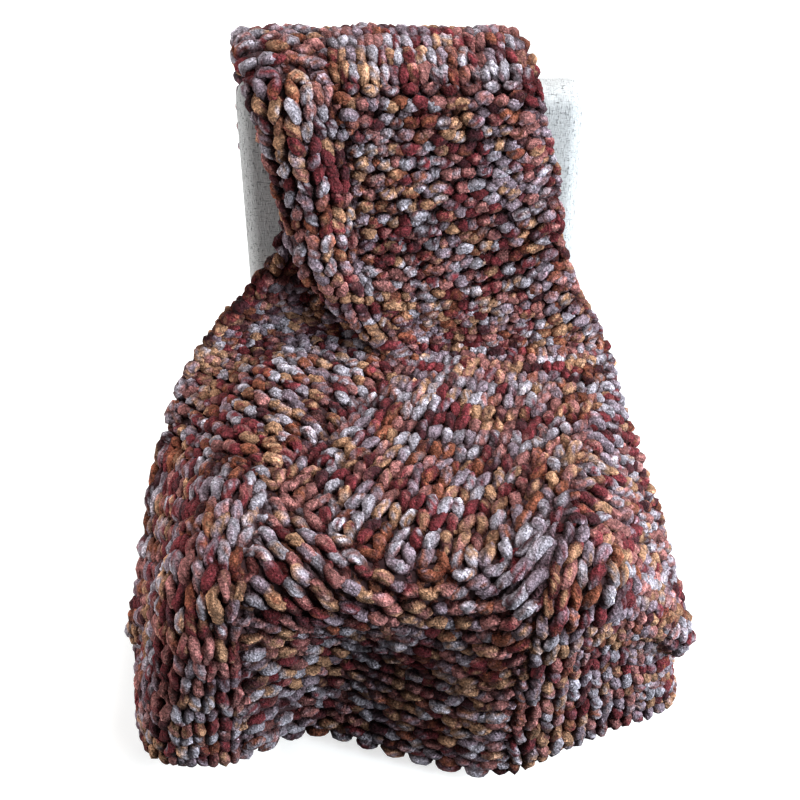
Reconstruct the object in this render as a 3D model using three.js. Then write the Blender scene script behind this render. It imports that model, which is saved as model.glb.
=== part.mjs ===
// Chunky chenille knit throw draped over a plain armless upholstered chair.
// Millimetres, +Z up. While it is being shaped, x runs across, y runs from the seat's front edge
// backwards and z is the height over the floor. At the end the whole is centred over its base.
import * as THREE from 'three';

// Chair: a padded seat and back on four round legs
const SEAT_WIDTH = 570;
const SEAT_DEPTH = 505;
const SEAT_TOP = 475;
const SEAT_THICK = 85;
const BACK_WIDTH = 535;
const BACK_TOP = 955;
const BACK_THICK = 70;
const BACK_RECLINE = 5;
const PAD_CORNER = 30;
const PAD_EDGE = 25;
const PAD_CORNER_STEPS = 6;
const PAD_EDGE_STEPS = 4;
const LEG_TOP_RADIUS = 22;
const LEG_FOOT_RADIUS = 15;
const LEG_X = 225;
const LEG_FRONT_Y = 110;
const LEG_REAR_Y = 520;
const LEG_SIDES = 20;
const SEAT_GAP = 0.3;

// Throw: one knitted sheet, its width counted in flat columns from the left selvedge
const CLOTH_WIDTH = 1120;
const CLOTH_THICK = 18;
const LAYER_PITCH = 22;
const MIDDLE_COLUMN = 600;
const PLEAT_COLUMN = 350;
const LEFT_RISE_COLUMN = 420;
const RIGHT_RISE_COLUMN = 655;
const RIGHT_TUCK_COLUMN = 800;
const RIGHT_RETURN_COLUMN = 1030;
const SOFT_BEND = 150;
const LAG_POWER = 1.5;
const HANG_START = 30;

// Way of the throw's middle over the chair, from its rear hem over the top to its front hem
const REAR_DROP = 150;
const TOP_RADIUS = 32;
const CREASE_RADIUS = 90;
const FRONT_RADIUS = 34;
const HEM_HEIGHT = 14;

const radians = THREE.MathUtils.degToRad;
const LEAN = Math.tan(radians(BACK_RECLINE));
const BACK_RISE = BACK_TOP - SEAT_TOP;
const REAR_FACE = SEAT_DEPTH + BACK_RISE * LEAN + BACK_THICK;
const CREASE_REACH = CREASE_RADIUS * Math.tan(radians((90 - BACK_RECLINE) / 2));
const BACK_RUN = (BACK_RISE - TOP_RADIUS) / Math.cos(radians(BACK_RECLINE)) - CREASE_REACH;
const WAY_START = { y: REAR_FACE, z: BACK_TOP - TOP_RADIUS - REAR_DROP, heading: 90 };
const WAY = [
  { name: 'rear fall', run: REAR_DROP, turn: 90, radius: TOP_RADIUS },
  { name: 'top', run: BACK_THICK - 2 * TOP_RADIUS, turn: 90 - BACK_RECLINE, radius: TOP_RADIUS },
  { name: 'back', run: BACK_RUN, turn: BACK_RECLINE - 90, radius: CREASE_RADIUS },
  { name: 'seat', run: SEAT_DEPTH - CREASE_REACH - FRONT_RADIUS, turn: 90, radius: FRONT_RADIUS },
  { name: 'front fall', run: SEAT_TOP - FRONT_RADIUS - HEM_HEIGHT, turn: 0, radius: 0 },
];
const wayLength = (leg) => leg.run + Math.abs(radians(leg.turn)) * leg.radius;
const WAY_LENGTH = WAY.reduce((sum, leg) => sum + wayLength(leg), 0);
const FRONT_EDGE_AT = WAY_LENGTH - wayLength(WAY[4]) - (wayLength(WAY[3]) - WAY[3].run);

// Cross sections. at: place along the way; x, lift: the middle column; tuck: column of the left
// pleat's inner fold; under: column where the right edge turns under; ease: width factors;
// rise, edge, fall, return: bends in degrees and their columns; lag: how far each edge trails
const SECTION_NAMES = [
  'at', 'x', 'lift', 'tuck', 'easeHidden', 'easeLeft', 'leftRise', 'leftEdge', 'leftFall',
  'rightRise', 'rightEdge', 'rightFall', 'under', 'rightReturn', 'easeRight', 'easeUnder',
  'lagLeft', 'lagRight',
];
const SECTIONS = [
  [0, -40, 58, 160, 0.95, 0.95, 0, 80, 0, 0, 800, 0, 800, 0, 1, 0.6, 0, 0],
  [150, -38, 58, 160, 0.95, 0.95, 0, 80, 0, 0, 800, 0, 800, 0, 1, 0.6, 0, 0],
  [195, -28, 63, 160, 0.95, 0.95, 0, 80, 0, 0, 800, 0, 800, 0, 1, 0.6, 0, 0],
  [250, -4, 61, 160, 0.95, 0.91, 0, 80, 0, 0, 800, 0, 800, 0, 1, 0.6, 0, 0],
  [340, 27, 59, 166, 1, 0.94, 0, 80, 0, 0, 800, 0, 800, 0, 0.98, 0.6, 0, 0],
  [480, 50, 58, 192, 1, 0.92, 0, 80, 0, 0, 800, 0, 800, 0, 0.98, 0.6, 0, 0],
  [590, 100, 58, 272, 1, 0.83, 0, 90, 0, 0, 800, -10, 805, 0, 0.99, 0.6, 30, 0],
  [676, 190, 48, 350, 0.97, 0.8, 0, 100, -10, 0, 800, -32, 815, 0, 0.7, 0.65, 60, 5],
  [760, 150, 38, 350, 0.95, 0.89, 0, 180, -22, 0, 810, -46, 845, 0, 0.84, 0.75, 90, 18],
  [830, 114, 32, 350, 0.97, 0.95, 0, 205, -36, 0, 810, -56, 930, 0, 0.925, 0.85, 112, 30],
  [890, 87, 26, 350, 1, 1, 0, 230, -50, 0, 815, -54, 1030, 0, 0.975, 0.95, 130, 42],
  [970, 64, 22, 350, 1, 1, 0, 250, -52, 0, 830, -54, 1130, 0, 1, 1, 152, 60],
  [1060, 40, 20, 350, 1, 1, 0, 270, -66, 0, 845, -59, 1160, 0, 1, 1, 170, 80],
  [1155, 21, 20, 350, 1, 1, 4, 250, -71, 3, 850, -59, 1160, -10, 0.99, 1, 155, 96],
  [1250, 15, 18, 350, 1, 0.86, 6, 215, -79, 8, 820, -51, 1160, -30, 0.965, 1, 130, 104],
  [1340, 15, 2, 350, 1, 0.88, 9, 190, -86, 14, 775, -47, 1160, -50, 0.98, 1.04, 105, 104],
  [1440, 15, -10, 350, 1, 0.94, 10, 170, -88, 18, 752, -47, 1160, -60, 1.05, 1.1, 80, 100],
  [1620, 15, -16, 350, 1, 0.97, 10, 160, -88, 20, 750, -49, 1160, -70, 1.12, 1.12, 50, 95],
];

// Soft ridges and troughs in the sheet, each along a straight line on the cloth
const FOLDS = [
  { name: 'lapel crown', fromAt: 270, fromColumn: 410, toAt: 668, toColumn: 386, height: 32, reach: 42 },
  { name: 'rear crease', fromAt: 684, fromColumn: 450, toAt: 688, toColumn: 780, height: -30, reach: 38 },
  { name: 'rear swell', fromAt: 772, fromColumn: 470, toAt: 772, toColumn: 770, height: 14, reach: 45 },
  { name: 'right ridge', fromAt: 900, fromColumn: 785, toAt: 1190, toColumn: 765, height: 34, reach: 50 },
  { name: 'low ridge', fromAt: 1190, fromColumn: 765, toAt: 1640, toColumn: 690, height: 30, reach: 70 },
  { name: 'left roll', fromAt: 540, fromColumn: 0, toAt: 740, toColumn: 0, height: 44, reach: 38 },
  { name: 'left crease', fromAt: 640, fromColumn: 70, toAt: 660, toColumn: 250, height: -46, reach: 45 },
  { name: 'left hump', fromAt: 780, fromColumn: 190, toAt: 970, toColumn: 230, height: 28, reach: 100 },
  { name: 'seat valley', fromAt: 790, fromColumn: 405, toAt: 1130, toColumn: 350, height: -12, reach: 32 },
  { name: 'seat swell', fromAt: 840, fromColumn: 520, toAt: 1100, toColumn: 520, height: 12, reach: 80 },
  { name: 'left ear', fromAt: 1130, fromColumn: 265, toAt: 1420, toColumn: 225, height: 32, reach: 85 },
  { name: 'high sag', fromAt: 370, fromColumn: 540, toAt: 400, toColumn: 770, height: 6, reach: 30 },
  { name: 'low sag', fromAt: 520, fromColumn: 500, toAt: 570, toColumn: 760, height: 10, reach: 28 },
  { name: 'front hollow', fromAt: 1300, fromColumn: 470, toAt: 1640, toColumn: 420, height: -60, reach: 95 },
];

// Facets of the throw's solid: finer columns where its folds turn tightly
const COLUMN_BANDS = [
  { to: 140, count: 4 },
  { to: 375, count: 16 },
  { to: 780, count: 10 },
  { to: CLOTH_WIDTH, count: 20 },
];
const ROW_COUNT = 50;
const WALK_STEP = 4;
const LENGTH_SAMPLES = 500;

// Settling: below the pinned rows the sheet gives until no patch of it is stretched, squeezed or
// slanted past these shares of its flat size, and it keeps clear of itself, the chair and the floor
const SETTLE_STEPS = 240;
const SETTLE_GAIN = 0.3;
const SHAPE_HOLD = 0.008;
const LOOSE_EDGE = 200;
const SMOOTH_EVERY = 4;
const SMOOTH_GAIN = 0.07;
const PINNED_ROW = 700;
const FREE_ROW = 900;
const STRAIGHT_LIMITS = { least: 0.5, most: 1.15 };
const SLANT_LIMITS = { least: 0.5, most: 1.25 };
const LAYER_GAP = 30;
const CHAIR_CLEARANCE = CLOTH_THICK / 2 + 8;

const clamp01 = (value) => THREE.MathUtils.clamp(value, 0, 1);
const softStep = (value) => clamp01(value) ** 2 * (3 - 2 * clamp01(value));

// Point of the way at a distance from its start, and the direction in which the cloth lifts off it
function wayPoint(at) {
  let { y, z, heading } = WAY_START;
  let left = at;
  for (const [index, leg] of WAY.entries()) {
    const angle = radians(heading);
    const last = index === WAY.length - 1;
    if (left <= leg.run || last) {
      const lift = angle - Math.PI / 2;
      return { y: y + left * Math.cos(angle), z: z + left * Math.sin(angle), lift };
    }
    y += leg.run * Math.cos(angle);
    z += leg.run * Math.sin(angle);
    left -= leg.run;
    const sign = Math.sign(leg.turn);
    const arc = Math.min(left, Math.abs(radians(leg.turn)) * leg.radius);
    const turned = angle + sign * arc / leg.radius;
    y += sign * leg.radius * (Math.sin(turned) - Math.sin(angle));
    z -= sign * leg.radius * (Math.cos(turned) - Math.cos(angle));
    if (left <= wayLength(leg) - leg.run) return { y, z, lift: turned - Math.PI / 2 };
    left -= wayLength(leg) - leg.run;
    heading += leg.turn;
  }
  return null;
}

// Slopes of a smooth curve through the table's rows that never overshoots them
function gentleSlopes(places, values) {
  const pitch = places.slice(1).map((place, i) => place - places[i]);
  const rate = pitch.map((step, i) => (values[i + 1] - values[i]) / step);
  return places.map((_, i) => {
    if (i === 0) return rate[0];
    if (i === places.length - 1) return rate[i - 1];
    if (rate[i - 1] * rate[i] <= 0) return 0;
    const before = 2 * pitch[i] + pitch[i - 1];
    const after = pitch[i] + 2 * pitch[i - 1];
    return (before + after) / (before / rate[i - 1] + after / rate[i]);
  });
}

const SECTION_PLACES = SECTIONS.map((row) => row[0]);
const SECTION_CURVES = SECTION_NAMES.map((name, k) => {
  const values = SECTIONS.map((row) => row[k]);
  return { name, values, slopes: gentleSlopes(SECTION_PLACES, values) };
});

// The table's values at any place along the way
function sectionAt(at) {
  const last = SECTION_PLACES.length - 2;
  let i = 0;
  while (i < last && at > SECTION_PLACES[i + 1]) i += 1;
  const pitch = SECTION_PLACES[i + 1] - SECTION_PLACES[i];
  const t = clamp01((at - SECTION_PLACES[i]) / pitch);
  const values = {};
  for (const { name, values: v, slopes } of SECTION_CURVES) {
    values[name] = (2 * t ** 3 - 3 * t ** 2 + 1) * v[i] + (t ** 3 - 2 * t ** 2 + t) * pitch * slopes[i]
      + (3 * t ** 2 - 2 * t ** 3) * v[i + 1] + (t ** 3 - t ** 2) * pitch * slopes[i + 1];
  }
  return values;
}

// Extra lift of the ridges and troughs at one spot of the cloth
function foldLift(at, column) {
  let lift = 0;
  for (const fold of FOLDS) {
    const runAt = fold.toAt - fold.fromAt;
    const runColumn = fold.toColumn - fold.fromColumn;
    const length = Math.hypot(runAt, runColumn);
    const along = ((at - fold.fromAt) * runAt + (column - fold.fromColumn) * runColumn) / length;
    const off = ((at - fold.fromAt) * runColumn - (column - fold.fromColumn) * runAt) / length;
    const past = along - THREE.MathUtils.clamp(along, 0, length);
    lift += fold.height * Math.exp(-(off ** 2 + past ** 2) / fold.reach ** 2);
  }
  return lift;
}

// Direction of the sheet in its section, in degrees, at a column left or right of the middle
const FOLD_ARC = Math.PI * LAYER_PITCH / 2;
function leftTurn(section, column) {
  return -180 * clamp01((PLEAT_COLUMN - column) / FOLD_ARC + 0.5)
    + 180 * clamp01((section.tuck - column) / FOLD_ARC + 0.5)
    + section.leftRise * softStep((LEFT_RISE_COLUMN - column) / SOFT_BEND + 0.5)
    + section.leftFall * softStep((section.leftEdge - column) / SOFT_BEND + 0.5);
}
function rightTurn(section, column) {
  const hangBack = section.under + (section.under - RIGHT_TUCK_COLUMN) / section.easeUnder;
  return section.rightRise * softStep((column - RIGHT_RISE_COLUMN) / SOFT_BEND + 0.5)
    + section.rightFall * softStep((column - section.rightEdge) / SOFT_BEND + 0.5)
    - 180 * clamp01((column - section.under) / FOLD_ARC + 0.5)
    - section.rightFall * softStep((column - hangBack) / SOFT_BEND + 0.5)
    + section.rightReturn * softStep((column - RIGHT_RETURN_COLUMN) / SOFT_BEND + 0.5);
}

// Walks the section from the middle column outwards. Past the seat's front edge, cloth that hangs
// beyond a side edge swings from straight down to straight back the lower it starts
function walkSection(section, at, column) {
  const side = column < MIDDLE_COLUMN ? -1 : 1;
  const distance = Math.abs(column - MIDDLE_COLUMN);
  const steps = Math.max(1, Math.ceil(distance / WALK_STEP));
  const step = distance / steps;
  const drop = at - FRONT_EDGE_AT;
  const way = { out: 0, rise: 0, back: 0, down: 0 };
  for (let k = 0; k < steps; k += 1) {
    const here = MIDDLE_COLUMN + side * (k + 0.5) * step;
    const turn = radians(side < 0 ? leftTurn(section, here) : rightTurn(section, here));
    const leftEase = here > PLEAT_COLUMN ? section.easeLeft : section.easeHidden;
    const rightEase = here > section.under ? section.easeUnder : section.easeRight;
    const beyond = HANG_START + (side < 0 ? section.leftEdge - here : here - section.rightEdge);
    way.out += side * Math.cos(turn) * (side < 0 ? leftEase : rightEase) * step;
    if (drop > 0 && beyond > 0) {
      const reach = Math.hypot(drop, beyond);
      way.back -= Math.sin(turn) * step * drop / reach;
      way.down -= Math.sin(turn) * step * beyond / reach;
    } else {
      way.rise += Math.sin(turn) * step;
    }
  }
  return way;
}

// Even rows: length of the middle column up to each sampled place of the way
const LENGTHS = [{ at: 0, length: 0 }];
function middlePoint(at) {
  const { y, z, lift } = wayPoint(at);
  const section = sectionAt(at);
  const height = section.lift + foldLift(at, MIDDLE_COLUMN);
  return new THREE.Vector3(section.x, y + height * Math.cos(lift), z + height * Math.sin(lift));
}
for (let k = 1; k <= LENGTH_SAMPLES; k += 1) {
  const at = WAY_LENGTH * k / LENGTH_SAMPLES;
  const previous = LENGTHS[k - 1];
  const step = middlePoint(at).distanceTo(middlePoint(previous.at));
  LENGTHS.push({ at, length: previous.length + step });
}
const CLOTH_LENGTH = LENGTHS[LENGTH_SAMPLES].length;

function placeOfRow(row) {
  const next = Math.max(1, LENGTHS.findIndex((entry) => entry.length >= row));
  const high = row >= CLOTH_LENGTH ? LENGTHS[LENGTH_SAMPLES] : LENGTHS[next];
  const low = LENGTHS[LENGTHS.indexOf(high) - 1];
  return low.at + (high.at - low.at) * (row - low.length) / (high.length - low.length);
}

// Middle of the sheet at a flat column and row
function clothPoint(column, row) {
  const middle = placeOfRow(row);
  const trail = sectionAt(middle);
  const left = clamp01((MIDDLE_COLUMN - column) / MIDDLE_COLUMN);
  const right = clamp01((column - MIDDLE_COLUMN) / (CLOTH_WIDTH - MIDDLE_COLUMN)) ** LAG_POWER;
  const at = middle - trail.lagLeft * left - trail.lagRight * right;
  const section = sectionAt(at);
  const way = walkSection(section, at, column);
  const { y, z, lift } = wayPoint(at);
  const height = section.lift + way.rise + foldLift(at, column);
  return new THREE.Vector3(
    section.x + way.out,
    y + height * Math.cos(lift) + way.back,
    z + height * Math.sin(lift) - way.down,
  );
}

// Push that brings a point clear of a block with rounded edges
function clearOfBlock(point, low, high, edge) {
  const centre = low.clone().add(high).multiplyScalar(0.5);
  const half = high.clone().sub(centre).subScalar(edge);
  const away = point.clone().sub(centre);
  const over = new THREE.Vector3(Math.abs(away.x), Math.abs(away.y), Math.abs(away.z)).sub(half);
  const deepest = Math.max(over.x, over.y, over.z);
  const outside = over.clone().max(new THREE.Vector3());
  const distance = (deepest <= 0 ? deepest : outside.length()) - edge;
  if (distance >= CHAIR_CLEARANCE) return new THREE.Vector3();
  const push = deepest > 0 ? outside : new THREE.Vector3(
    over.x === deepest ? 1 : 0,
    over.y === deepest ? 1 : 0,
    over.z === deepest ? 1 : 0,
  );
  push.multiply(new THREE.Vector3(Math.sign(away.x), Math.sign(away.y), Math.sign(away.z)));
  return push.setLength(CHAIR_CLEARANCE - distance);
}
const SEAT_LOW = new THREE.Vector3(-SEAT_WIDTH / 2, 0, SEAT_TOP - SEAT_THICK);
const SEAT_HIGH = new THREE.Vector3(SEAT_WIDTH / 2, SEAT_DEPTH + BACK_THICK, SEAT_TOP);
const BACK_LOW = new THREE.Vector3(-BACK_WIDTH / 2, SEAT_DEPTH, SEAT_TOP);
const BACK_HIGH = new THREE.Vector3(BACK_WIDTH / 2, SEAT_DEPTH + BACK_THICK, BACK_TOP);
function clearOfChair(point) {
  point.add(clearOfBlock(point, SEAT_LOW, SEAT_HIGH, PAD_EDGE));
  const upright = point.clone();
  upright.y -= (point.z - SEAT_TOP) * LEAN;
  point.add(clearOfBlock(upright, BACK_LOW, BACK_HIGH, PAD_EDGE));
  point.z = Math.max(point.z, HEM_HEIGHT);
}

// Grid of the sheet: its flat columns and rows, and its draped points settled into place
const COLUMNS = [0];
for (const band of COLUMN_BANDS) {
  const from = COLUMNS[COLUMNS.length - 1];
  for (let k = 1; k <= band.count; k += 1) COLUMNS.push(from + (band.to - from) * k / band.count);
}
const ROWS = Array.from({ length: ROW_COUNT + 1 }, (_, r) => CLOTH_LENGTH * r / ROW_COUNT);
const TIES = [
  { down: 0, right: 1, limits: STRAIGHT_LIMITS },
  { down: 1, right: 0, limits: STRAIGHT_LIMITS },
  { down: 1, right: 1, limits: SLANT_LIMITS },
  { down: 1, right: -1, limits: SLANT_LIMITS },
];

// Pulls the ends of every tie back to its limits
function easeTies(grid, ease) {
  const moves = grid.map((line) => line.map(() => new THREE.Vector3()));
  for (const { down, right, limits } of TIES) {
    for (let r = 0; r + down < ROWS.length; r += 1) {
      for (let c = Math.max(0, -right); c + Math.max(0, right) < COLUMNS.length; c += 1) {
        const flat = Math.hypot(COLUMNS[c + right] - COLUMNS[c], ROWS[r + down] - ROWS[r]);
        const pull = grid[r + down][c + right].clone().sub(grid[r][c]);
        const length = pull.length();
        const wanted = THREE.MathUtils.clamp(length, limits.least * flat, limits.most * flat);
        pull.multiplyScalar((length - wanted) / length / 2);
        moves[r][c].add(pull);
        moves[r + down][c + right].sub(pull);
      }
    }
  }
  grid.forEach((line, r) => line.forEach((point, c) => {
    point.addScaledVector(moves[r][c], ease[r] * SETTLE_GAIN);
  }));
}

// Draws every point a little towards the middle of its neighbours in its row and in its column
function smoothBends(grid, ease) {
  const before = grid.map((line) => line.map((point) => point.clone()));
  for (let r = 0; r < ROWS.length; r += 1) {
    for (let c = 0; c < COLUMNS.length; c += 1) {
      const gain = ease[r] * SMOOTH_GAIN;
      const here = before[r][c];
      if (r > 0 && r < ROW_COUNT) {
        const bend = before[r - 1][c].clone().add(before[r + 1][c]).addScaledVector(here, -2);
        grid[r][c].addScaledVector(bend, gain);
      }
      if (c > 0 && c < COLUMNS.length - 1) {
        const share = (COLUMNS[c] - COLUMNS[c - 1]) / (COLUMNS[c + 1] - COLUMNS[c - 1]);
        const bend = before[r][c - 1].clone().lerp(before[r][c + 1], share).sub(here);
        grid[r][c].addScaledVector(bend, gain);
      }
    }
  }
}

// Parts layers that lie closer than the gap though they are well apart on the flat sheet
function partLayers(grid, ease) {
  const live = [];
  grid.forEach((line, r) => line.forEach((point, c) => {
    if (ROWS[r] > PINNED_ROW - 2 * ROWS[1]) live.push({ point, r, c, push: new THREE.Vector3(), count: 0 });
  }));
  for (let i = 0; i < live.length; i += 1) {
    for (let j = i + 1; j < live.length; j += 1) {
      const [one, other] = [live[i], live[j]];
      const distance = one.point.distanceTo(other.point);
      if (distance >= LAYER_GAP) continue;
      const flat = Math.hypot(COLUMNS[one.c] - COLUMNS[other.c], ROWS[one.r] - ROWS[other.r]);
      if (flat <= 2 * LAYER_GAP) continue;
      const away = one.point.clone().sub(other.point).setLength((LAYER_GAP - distance) / 2);
      one.push.add(away);
      other.push.sub(away);
      one.count += 1;
      other.count += 1;
    }
  }
  for (const { point, r, push, count } of live) {
    if (count) point.addScaledVector(push, ease[r] / count);
  }
}

function settledGrid() {
  const draped = ROWS.map((row) => COLUMNS.map((column) => clothPoint(column, row)));
  const grid = draped.map((line) => line.map((point) => point.clone()));
  const ease = ROWS.map((row) => clamp01((row - PINNED_ROW) / (FREE_ROW - PINNED_ROW)));
  const inner = COLUMNS.map((column) => clamp01(Math.min(column, CLOTH_WIDTH - column) / LOOSE_EDGE));
  for (let step = 1; step <= SETTLE_STEPS; step += 1) {
    easeTies(grid, ease);
    grid.forEach((line, r) => line.forEach((point, c) => {
      point.lerp(draped[r][c], ease[r] * inner[c] * SHAPE_HOLD);
    }));
    if (step % SMOOTH_EVERY === 0) {
      smoothBends(grid, ease);
      partLayers(grid, ease);
    }
    grid.forEach((line, r) => line.forEach((point) => ease[r] > 0 && clearOfChair(point)));
  }
  return grid;
}

// The throw's solid: the sheet offset to both faces and closed round its four edges
function clothGeometry() {
  const grid = settledGrid();
  const wide = COLUMNS.length;
  const tall = ROWS.length;
  const faces = { outer: [], inner: [] };
  for (let r = 0; r < tall; r += 1) {
    for (let c = 0; c < wide; c += 1) {
      const across = grid[r][Math.min(c + 1, wide - 1)].clone().sub(grid[r][Math.max(c - 1, 0)]);
      const along = grid[Math.min(r + 1, tall - 1)][c].clone().sub(grid[Math.max(r - 1, 0)][c]);
      const offset = along.cross(across).setLength(CLOTH_THICK / 2);
      faces.outer.push(...grid[r][c].clone().add(offset).toArray());
      faces.inner.push(...grid[r][c].clone().sub(offset).toArray());
    }
  }
  const under = wide * tall;
  const triangles = [];
  const quad = (a, b, c, d) => triangles.push(a, b, c, a, c, d);
  for (let r = 0; r < tall - 1; r += 1) {
    for (let c = 0; c < wide - 1; c += 1) {
      const a = r * wide + c;
      quad(a, a + wide, a + wide + 1, a + 1);
      quad(under + a, under + a + 1, under + a + wide + 1, under + a + wide);
    }
  }
  const rim = [];
  for (let c = 0; c < wide - 1; c += 1) rim.push(c);
  for (let r = 0; r < tall - 1; r += 1) rim.push(r * wide + wide - 1);
  for (let c = wide - 1; c > 0; c -= 1) rim.push((tall - 1) * wide + c);
  for (let r = tall - 1; r > 0; r -= 1) rim.push(r * wide);
  rim.forEach((a, k) => {
    const b = rim[(k + 1) % rim.length];
    quad(a, b, under + b, under + a);
  });
  const geometry = new THREE.BufferGeometry();
  const positions = new Float32Array([...faces.outer, ...faces.inner]);
  geometry.setAttribute('position', new THREE.BufferAttribute(positions, 3));
  geometry.setIndex(triangles);
  return geometry;
}

// A padded block: a rounded outline in the y and z plane, drawn out across with rounded side edges
function paddedBlock(corners, width) {
  const points = corners.map(([y, z]) => new THREE.Vector2(y, z));
  const rounds = points.map((corner, k) => {
    const before = points[(k + points.length - 1) % points.length].clone().sub(corner).normalize();
    const after = points[(k + 1) % points.length].clone().sub(corner).normalize();
    const half = Math.acos(before.dot(after)) / 2;
    const inward = before.clone().add(after).setLength(PAD_CORNER / Math.sin(half));
    const start = Math.atan2(before.x, -before.y);
    return { centre: corner.clone().add(inward), start, sweep: Math.PI - 2 * half };
  });
  const stations = [];
  for (let k = 0; k <= PAD_EDGE_STEPS; k += 1) {
    const angle = Math.PI / 2 * k / PAD_EDGE_STEPS;
    const x = width / 2 - PAD_EDGE * (1 - Math.cos(angle));
    const inset = PAD_EDGE * (1 - Math.sin(angle));
    stations.push({ x: -x, inset });
  }
  for (const { x, inset } of [...stations].reverse()) stations.push({ x: -x, inset });
  const positions = [];
  for (const { x, inset } of stations) {
    for (const { centre, start, sweep } of rounds) {
      for (let k = 0; k <= PAD_CORNER_STEPS; k += 1) {
        const angle = start + sweep * k / PAD_CORNER_STEPS;
        const radius = PAD_CORNER - inset;
        positions.push(x, centre.x + radius * Math.cos(angle), centre.y + radius * Math.sin(angle));
      }
    }
  }
  const loop = rounds.length * (PAD_CORNER_STEPS + 1);
  const triangles = [];
  for (let s = 0; s < stations.length - 1; s += 1) {
    for (let k = 0; k < loop; k += 1) {
      const a = s * loop + k;
      const b = s * loop + (k + 1) % loop;
      triangles.push(a, b, b + loop, a, b + loop, a + loop);
    }
  }
  const far = (stations.length - 1) * loop;
  for (let k = 1; k < loop - 1; k += 1) {
    triangles.push(0, k + 1, k);
    triangles.push(far, far + k, far + k + 1);
  }
  const geometry = new THREE.BufferGeometry();
  geometry.setAttribute('position', new THREE.BufferAttribute(new Float32Array(positions), 3));
  geometry.setIndex(triangles);
  return geometry;
}

const upholstery = () => new THREE.MeshStandardMaterial({ color: 0xdcdbd6, roughness: 0.9, metalness: 0 });
const legWood = () => new THREE.MeshStandardMaterial({ color: 0x4a3527, roughness: 0.5, metalness: 0 });
const chenille = () => new THREE.MeshStandardMaterial({ color: 0x7d5f5b, roughness: 0.95, metalness: 0 });

const part = new THREE.Group();
function addPiece(name, geometry, material, place = [0, 0, 0]) {
  const mesh = new THREE.Mesh(geometry, material);
  mesh.name = name;
  mesh.position.set(...place);
  part.add(mesh);
}

const seatRear = SEAT_DEPTH + BACK_THICK;
const seatUnder = SEAT_TOP - SEAT_THICK;
addPiece('chair_seat', paddedBlock([
  [0, seatUnder],
  [seatRear, seatUnder],
  [seatRear, SEAT_TOP],
  [0, SEAT_TOP],
], SEAT_WIDTH), upholstery());

const backFoot = SEAT_TOP + SEAT_GAP;
addPiece('chair_back', paddedBlock([
  [SEAT_DEPTH, backFoot],
  [SEAT_DEPTH + BACK_THICK, backFoot],
  [REAR_FACE, BACK_TOP],
  [REAR_FACE - BACK_THICK, BACK_TOP],
], BACK_WIDTH), upholstery());

const legHeight = seatUnder - SEAT_GAP;
for (const [end, y] of [['front', LEG_FRONT_Y], ['rear', LEG_REAR_Y]]) {
  for (const [hand, x] of [['left', -LEG_X], ['right', LEG_X]]) {
    const leg = new THREE.CylinderGeometry(LEG_TOP_RADIUS, LEG_FOOT_RADIUS, legHeight, LEG_SIDES);
    leg.rotateX(Math.PI / 2);
    addPiece(`chair_leg_${end}_${hand}`, leg, legWood(), [x, y, legHeight / 2]);
  }
}

addPiece('throw', clothGeometry(), chenille());

// Origin under the middle of the whole, on the floor
const box = new THREE.Box3().setFromObject(part);
const middle = box.getCenter(new THREE.Vector3());
part.position.set(-middle.x, -middle.y, -box.min.z);
part.updateMatrixWorld(true);

export default part;
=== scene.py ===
"""Looks of a chunky chenille knit throw draped over a plain upholstered chair.

The throw is shaped in millimetres in the chair's own frame: x across, y from the seat's front edge
backwards, z up from the floor. to_scene() brings its points to the scene's frame, in metres.
"""

import math

import bpy
import numpy as np
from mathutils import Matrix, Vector


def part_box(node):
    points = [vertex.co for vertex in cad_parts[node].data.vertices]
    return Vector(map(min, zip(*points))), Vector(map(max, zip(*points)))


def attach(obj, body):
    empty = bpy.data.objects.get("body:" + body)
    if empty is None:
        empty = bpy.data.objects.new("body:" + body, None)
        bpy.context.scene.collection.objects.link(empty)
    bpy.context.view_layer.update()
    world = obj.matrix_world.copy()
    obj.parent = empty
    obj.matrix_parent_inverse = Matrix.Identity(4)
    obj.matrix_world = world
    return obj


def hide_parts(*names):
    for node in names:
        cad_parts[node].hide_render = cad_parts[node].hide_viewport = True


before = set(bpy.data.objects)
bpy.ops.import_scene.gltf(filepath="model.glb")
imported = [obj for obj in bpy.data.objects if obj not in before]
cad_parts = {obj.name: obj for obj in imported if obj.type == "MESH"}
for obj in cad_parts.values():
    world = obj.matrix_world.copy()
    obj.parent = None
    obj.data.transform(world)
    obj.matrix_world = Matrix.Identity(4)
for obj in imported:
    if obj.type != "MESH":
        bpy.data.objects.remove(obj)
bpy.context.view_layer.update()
RNG = np.random.default_rng(7)
TINY = 1e-9  # least divisor

# Chair, as in the solids
SEAT_WIDTH, SEAT_DEPTH, SEAT_TOP, SEAT_THICK = 570, 505, 475, 85
BACK_WIDTH, BACK_TOP, BACK_THICK, BACK_RECLINE = 535, 955, 70, 5
PAD_CORNER, PAD_EDGE = 30, 25
PAD_CURVE_POINTS, PAD_FLAT_POINTS, PAD_SIDE_POINTS = 9, 24, 12
LEG_TOP_RADIUS, LEG_FOOT_RADIUS, FOOT_ROUND, LEG_TAPER_START = 22, 15, 3, 0.05
LEG_SIDES, LEG_POINTS, FOOT_POINTS = 32, 12, 5
GAP = 0.3

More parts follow.
